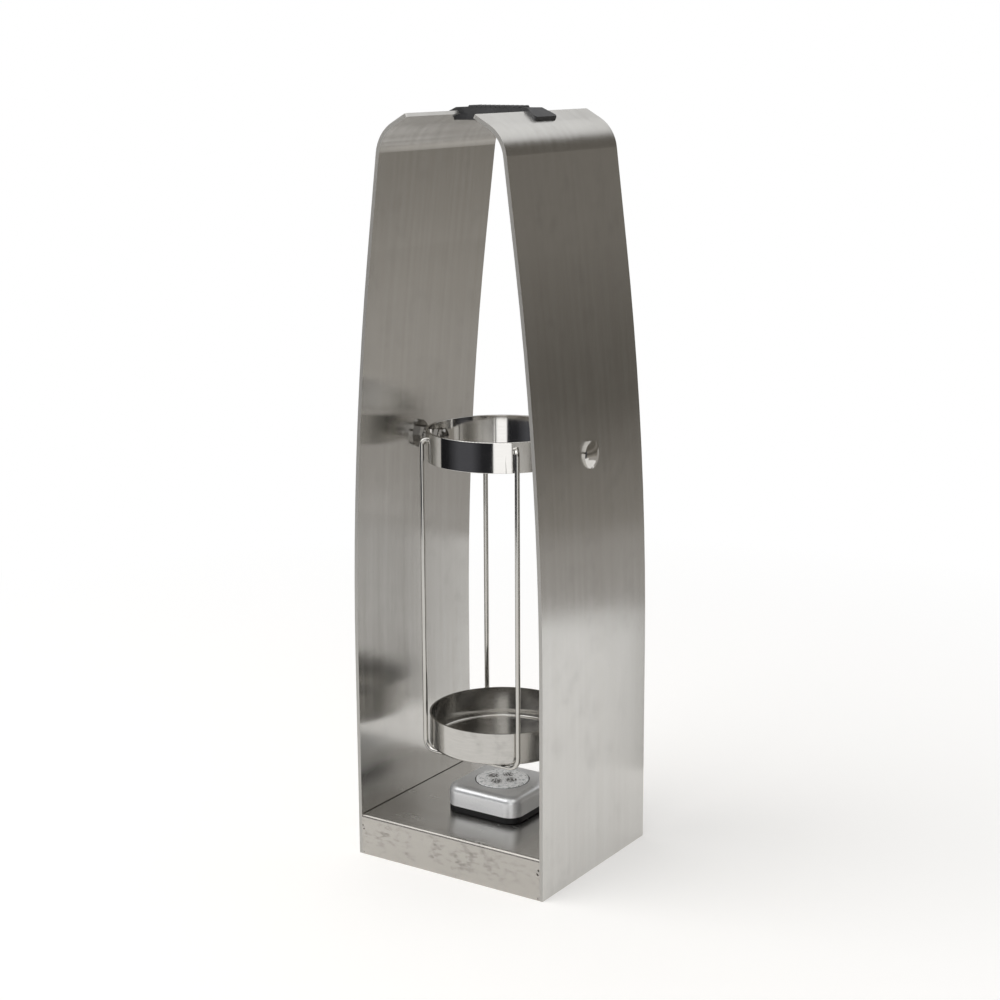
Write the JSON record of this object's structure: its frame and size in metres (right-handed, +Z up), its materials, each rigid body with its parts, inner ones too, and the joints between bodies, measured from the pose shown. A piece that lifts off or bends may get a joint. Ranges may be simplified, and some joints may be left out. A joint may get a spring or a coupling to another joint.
{
  "type": "swivel bottle pourer",
  "caption": "Free-standing steel bottle pourer: bent leaves on a folded base, a ring and cup cradle that swings on side pivots, a ribbed grip across the crown and a push light on the floor.",
  "frame": {"origin": "on the ground under the middle of the base", "axes": "+Z up, +X towards the right leaf along the swing axis, -Y towards the open front"},
  "size_m": [0.18, 0.159, 0.6094],
  "materials": {
    "brushed_leaf_steel": "vertical brushed grain, satin",
    "brushed_pan_steel": "brushed along the fold, satin",
    "polished_steel": "mirror polished",
    "satin_steel": "fine satin polish",
    "wire_steel": "bright drawn rod",
    "plain_steel": "machined",
    "black_plastic": "fine moulded texture",
    "nylon": "moulded",
    "foam": "foam",
    "silver_plastic": "silver lacquer",
    "cell_metal": "plain can",
    "contact_brass": "plated",
    "board_plastic": "white solder mask",
    "diode_plastic": "phosphor",
    "white_plastic": "moulded",
    "clear_plastic": "clear, prismatic underside"
  },
  "bodies": {
    "frame": {"left_leaf": "brushed_leaf_steel", "left_pivot_bolt": "polished_steel", "left_leaf_washer": "plain_steel", "left_lock_nut": "plain_steel", "left_spacer": "plain_steel", "left_cap_nut": "polished_steel", "right_leaf": "brushed_leaf_steel", "right_pivot_bolt": "polished_steel", "right_leaf_washer": "plain_steel", "right_lock_nut": "plain_steel", "right_spacer": "plain_steel", "right_cap_nut": "polished_steel", "base_pan": "brushed_pan_steel", "grip_top": "black_plastic", "grip_bar": "black_plastic", "grip_screws": "plain_steel", "adhesive_pad": "foam", "light_base": "black_plastic", "light_housing": "silver_plastic", "cells": "cell_metal", "cell_contacts": "contact_brass", "circuit_board": "board_plastic", "leds": "diode_plastic", "light_dish": "white_plastic", "push_switch": "black_plastic", "lens_springs": "plain_steel"},
    "cradle": {"cradle_ring": "polished_steel", "cradle_cup": "satin_steel", "front_wire": "wire_steel", "back_wire": "wire_steel", "left_bush": "nylon", "right_bush": "nylon"},
    "lens": {"light_lens": "clear_plastic"}
  },
  "joints": [
    {"name": "cradle_swing", "type": "hinge", "parent": "frame", "child": "cradle", "pos_m": [0, 0, 0.3435], "axis": [1, 0, 0], "range_deg": [-120, 120]},
    {"name": "lens_press", "type": "slide", "parent": "frame", "child": "lens", "axis": [0, 0, -1], "range_m": [0, 0.0015], "stiffness_N_per_m": 800, "springref_m": -0.002, "deforming": ["lens_springs"]}
  ]
}
